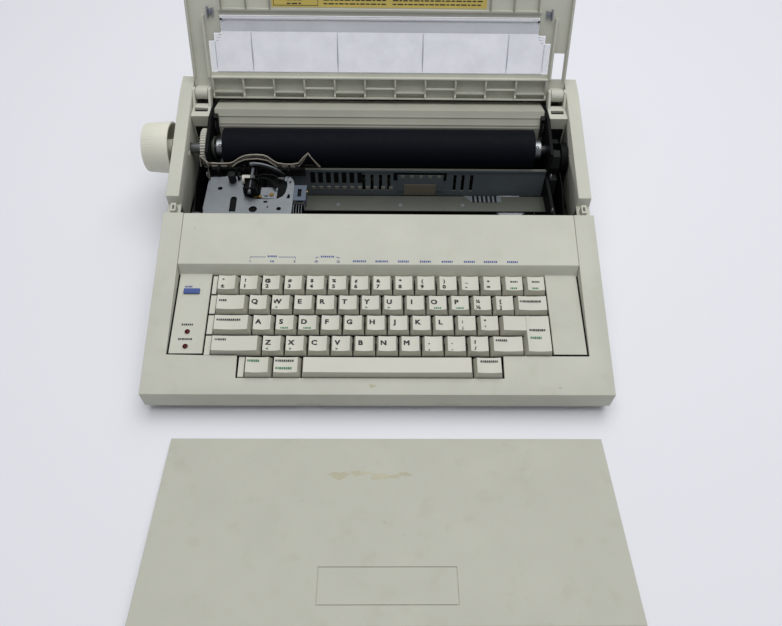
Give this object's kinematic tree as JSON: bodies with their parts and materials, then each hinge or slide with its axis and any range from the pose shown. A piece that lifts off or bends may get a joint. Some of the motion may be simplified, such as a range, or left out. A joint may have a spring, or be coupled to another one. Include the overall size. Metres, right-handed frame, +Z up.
{
  "type": "electronic typewriter",
  "caption": "Portable electronic typewriter with a sloping keyboard, platen, type wheel carriage and open hinged lid with a clear window; its keyboard cover lies in front.",
  "frame": {"origin": "on the desk, under the middle of the box round the whole set: the machine with its lid open, its knob, and the cover in front of it", "axes": "+X to the typist's right, along the platen; +Y away from the typist, from the cover to the back of the machine; +Z up"},
  "size_m": [0.415, 0.5294, 0.2208],
  "materials": {
    "case_plastic": "fine-grained warm light grey moulding",
    "panel_plastic": "fine-grained warm light grey moulding",
    "key_plastic": "smooth ivory moulding",
    "alt_plastic": "smooth blue moulding",
    "lamp_red": "dark red lamp lens",
    "platen_rubber": "ground dark rubber",
    "black_plastic": "black moulding",
    "pressed_steel": "zinc-plated pressed sheet",
    "ground_rod": "bright ground rod",
    "painted_plate": "dark grey-green painted sheet",
    "olive_plate": "dull olive sheet",
    "white_plastic": "white gear moulding",
    "clear_plastic": "clear moulding",
    "circuit_board": "green laminate",
    "brass": "bare brass",
    "foot_rubber": "soft foot"
  },
  "bodies": {
    "case": {"base_pan": "case_plastic", "upper_case": "case_plastic", "keyboard_panel": "panel_plastic", "foot_front_left": "foot_rubber", "foot_front_right": "foot_rubber", "foot_rear_left": "foot_rubber", "foot_rear_right": "foot_rubber", "main_board": "circuit_board", "power_transformer": "pressed_steel", "cord_gland": "black_plastic", "key_bed_plate": "black_plastic", "shift_led": "lamp_red", "power_led": "lamp_red", "left_side_plate": "black_plastic", "right_side_plate": "black_plastic", "line_feed_motor": "pressed_steel", "paper_chute": "case_plastic", "paper_guide_plate": "painted_plate", "carriage_rod": "ground_rod", "front_rail": "olive_plate", "carriage_motor": "pressed_steel", "carriage_belt": "black_plastic", "lid_hinge_left": "case_plastic", "lid_hinge_right": "case_plastic"},
    "platen": {"platen_roller": "platen_rubber", "platen_shaft": "ground_rod", "platen_knob": "case_plastic", "platen_gear": "white_plastic"},
    "idler": {"idler_gear": "white_plastic"},
    "pinion": {"motor_pinion": "brass"},
    "feed": {"feed_rollers": "platen_rubber"},
    "carriage": {"carriage_frame": "black_plastic", "carriage_plate": "pressed_steel", "wheel_motor": "pressed_steel", "hammer_solenoid": "black_plastic", "card_holder": "clear_plastic"},
    "type_wheel": {"daisy_wheel": "black_plastic"},
    "hammer": {"print_hammer": "brass"},
    "spindle": {"ribbon_spindle": "white_plastic"},
    "spool": {"correction_spool": "black_plastic"},
    "drive_wheel": {"drive_pulley": "brass"},
    "idler_wheel": {"idler_pulley": "white_plastic"},
    "lid": {"access_lid": "case_plastic"},
    "window": {"lid_window": "clear_plastic"},
    "cover": {"keyboard_cover": "case_plastic"},
    "alt": {"alt_button": "alt_plastic"},
    "tab_key_body": {"tab_key": "key_plastic"},
    "backspace_key_body": {"backspace_key": "key_plastic"},
    "shift_lock_key_body": {"shift_lock_key": "key_plastic"},
    "left_shift_key_body": {"left_shift_key": "key_plastic"},
    "right_shift_key_body": {"right_shift_key": "key_plastic"},
    "code_key_body": {"code_key": "key_plastic"},
    "word_out_key_body": {"word_out_key": "key_plastic"},
    "space_bar_body": {"space_bar": "key_plastic"},
    "correct_key_body": {"correct_key": "key_plastic"},
    "return_key_body": {"return_key": "key_plastic"},
    "number_row_keys_body": {"number_row_keys": "key_plastic"},
    "upper_row_keys_body": {"upper_row_keys": "key_plastic"},
    "middle_row_keys_body": {"middle_row_keys": "key_plastic"},
    "lower_row_keys_body": {"lower_row_keys": "key_plastic"}
  },
  "joints": [
    {"name": "platen_turn", "type": "hinge", "parent": "case", "child": "platen", "pos_m": [0.0145, 0.14931, 0.0735], "axis": [1, 0, 0], "continuous": true},
    {"name": "idler_turn", "type": "hinge", "parent": "case", "child": "idler", "pos_m": [-0.1515, 0.14931, 0.0439], "axis": [1, 0, 0], "continuous": true},
    {"name": "pinion_turn", "type": "hinge", "parent": "case", "child": "pinion", "pos_m": [-0.1515, 0.16386, 0.0355], "axis": [1, 0, 0], "continuous": true},
    {"name": "feed_turn", "type": "hinge", "parent": "case", "child": "feed", "pos_m": [0.0145, 0.13676, 0.05153], "axis": [1, 0, 0], "continuous": true},
    {"name": "carriage_travel", "type": "slide", "parent": "case", "child": "carriage", "axis": [1, 0, 0], "range_m": [0, 0.225]},
    {"name": "type_wheel_turn", "type": "hinge", "parent": "carriage", "child": "type_wheel", "pos_m": [-0.1035, 0.12231, 0.054], "axis": [0, 1, 0], "continuous": true},
    {"name": "hammer_strike", "type": "slide", "parent": "carriage", "child": "hammer", "axis": [0, 1, 0], "range_m": [0, 0.003], "stiffness_N_per_m": 60, "springref_m": -0.002},
    {"name": "spindle_turn", "type": "hinge", "parent": "carriage", "child": "spindle", "pos_m": [-0.1225, 0.11031, 0.07], "axis": [0, 0, 1], "continuous": true},
    {"name": "spool_turn", "type": "hinge", "parent": "carriage", "child": "spool", "pos_m": [-0.1515, 0.06631, 0.062], "axis": [0, 0, 1], "continuous": true},
    {"name": "drive_pulley_turn", "type": "hinge", "parent": "case", "child": "drive_wheel", "pos_m": [0.1425, 0.09631, 0.036], "axis": [0, 0, 1], "continuous": true},
    {"name": "idler_pulley_turn", "type": "hinge", "parent": "case", "child": "idler_wheel", "pos_m": [-0.1315, 0.09631, 0.036], "axis": [0, 0, 1], "continuous": true},
    {"name": "lid_turn", "type": "hinge", "parent": "case", "child": "lid", "pos_m": [0.0145, 0.19695, 0.10064], "axis": [1, 0, 0], "range_deg": [0, 129.5]},
    {"name": "window_turn", "type": "hinge", "parent": "lid", "child": "window", "pos_m": [0.0145, 0.23369, 0.15672], "axis": [1, 0, 0], "range_deg": [0, 85]},
    {"name": "cover_lift", "type": "slide", "parent": "case", "child": "cover", "axis": [0, 0, 1], "range_m": [0, 0.06]},
    {"name": "alt_press", "type": "slide", "parent": "case", "child": "alt", "axis": [0, 0.1607, -0.987], "range_m": [0, 0.0015], "stiffness_N_per_m": 300, "springref_m": -0.002},
    {"name": "tab_key_press", "type": "slide", "parent": "case", "child": "tab_key_body", "axis": [0, 0.1607, -0.987], "range_m": [0, 0.0035], "stiffness_N_per_m": 150, "springref_m": -0.002},
    {"name": "backspace_key_press", "type": "slide", "parent": "case", "child": "backspace_key_body", "axis": [0, 0.1607, -0.987], "range_m": [0, 0.0035], "stiffness_N_per_m": 150, "springref_m": -0.002},
    {"name": "shift_lock_key_press", "type": "slide", "parent": "case", "child": "shift_lock_key_body", "axis": [0, 0.1607, -0.987], "range_m": [0, 0.0035], "stiffness_N_per_m": 150, "springref_m": -0.002},
    {"name": "left_shift_key_press", "type": "slide", "parent": "case", "child": "left_shift_key_body", "axis": [0, 0.1607, -0.987], "range_m": [0, 0.0035], "stiffness_N_per_m": 150, "springref_m": -0.002},
    {"name": "right_shift_key_press", "type": "slide", "parent": "case", "child": "right_shift_key_body", "axis": [0, 0.1607, -0.987], "range_m": [0, 0.0035], "stiffness_N_per_m": 150, "springref_m": -0.002},
    {"name": "code_key_press", "type": "slide", "parent": "case", "child": "code_key_body", "axis": [0, 0.1607, -0.987], "range_m": [0, 0.0035], "stiffness_N_per_m": 150, "springref_m": -0.002},
    {"name": "word_out_key_press", "type": "slide", "parent": "case", "child": "word_out_key_body", "axis": [0, 0.1607, -0.987], "range_m": [0, 0.0035], "stiffness_N_per_m": 150, "springref_m": -0.002},
    {"name": "space_bar_press", "type": "slide", "parent": "case", "child": "space_bar_body", "axis": [0, 0.1607, -0.987], "range_m": [0, 0.0035], "stiffness_N_per_m": 300, "springref_m": -0.003},
    {"name": "correct_key_press", "type": "slide", "parent": "case", "child": "correct_key_body", "axis": [0, 0.1607, -0.987], "range_m": [0, 0.0035], "stiffness_N_per_m": 150, "springref_m": -0.002},
    {"name": "return_key_press", "type": "slide", "parent": "case", "child": "return_key_body", "axis": [0, 0.1607, -0.987], "range_m": [0, 0.0035], "stiffness_N_per_m": 250, "springref_m": -0.003},
    {"name": "number_row_keys_press", "type": "slide", "parent": "case", "child": "number_row_keys_body", "axis": [0, 0.1607, -0.987], "range_m": [0, 0.0035], "stiffness_N_per_m": 450, "springref_m": -0.003},
    {"name": "upper_row_keys_press", "type": "slide", "parent": "case", "child": "upper_row_keys_body", "axis": [0, 0.1607, -0.987], "range_m": [0, 0.0035], "stiffness_N_per_m": 450, "springref_m": -0.003},
    {"name": "middle_row_keys_press", "type": "slide", "parent": "case", "child": "middle_row_keys_body", "axis": [0, 0.1607, -0.987], "range_m": [0, 0.0035], "stiffness_N_per_m": 450, "springref_m": -0.003},
    {"name": "lower_row_keys_press", "type": "slide", "parent": "case", "child": "lower_row_keys_body", "axis": [0, 0.1607, -0.987], "range_m": [0, 0.0035], "stiffness_N_per_m": 450, "springref_m": -0.003}
  ],
  "couplings": [
    {"joint": "idler_turn", "follows": "platen_turn", "ratio": -1.4667},
    {"joint": "pinion_turn", "follows": "platen_turn", "ratio": 3.6667},
    {"joint": "feed_turn", "follows": "platen_turn", "ratio": -3.1667},
    {"joint": "drive_pulley_turn", "follows": "carriage_travel", "rad_per_m": 126.58},
    {"joint": "idler_pulley_turn", "follows": "carriage_travel", "rad_per_m": 126.58}
  ]
}
